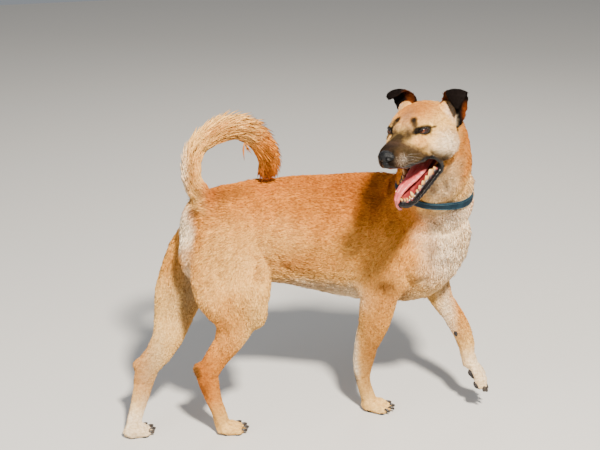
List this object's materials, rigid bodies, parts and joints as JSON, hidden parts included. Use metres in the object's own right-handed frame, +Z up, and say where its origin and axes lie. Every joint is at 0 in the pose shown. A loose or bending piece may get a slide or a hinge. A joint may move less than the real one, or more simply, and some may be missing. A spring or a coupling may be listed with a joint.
{
  "type": "dog",
  "caption": "Tan short-coated mixed-breed dog standing with one forepaw raised, tail curled over its back, head turned to its right, mouth open, wearing a plain collar.",
  "frame": {"origin": "ground point under the middle of the dog's bounding box", "axes": "+X along the trunk from tail to chest, +Y to the dog's left, +Z up"},
  "size_m": [0.8784, 0.4772, 0.8557],
  "materials": {
    "coat_tan": "short golden-tan dog coat over flesh",
    "coat_pale": "short cream dog coat over flesh",
    "ear_dark": "thin dark brown ear leather with short hair",
    "nose_black": "moist black nose skin",
    "eye_brown": "wet brown eye",
    "tongue_pink": "wet pink tongue",
    "teeth_ivory": "ivory tooth enamel on pink gum",
    "collar_teal": "woven dark teal webbing"
  },
  "bodies": {
    "root": {"trunk": "coat_tan", "neck": "coat_tan", "head": "coat_tan", "tail": "coat_tan", "leg_hind_right": "coat_pale", "leg_hind_left": "coat_pale", "leg_fore_right": "coat_pale", "leg_fore_left": "coat_pale", "jaw_lower": "coat_pale", "ear_left": "ear_dark", "ear_right": "ear_dark", "nose": "nose_black", "eye_left": "eye_brown", "eye_right": "eye_brown", "tongue": "tongue_pink", "teeth_lower": "teeth_ivory", "collar": "collar_teal"}
  },
  "joints": []
}
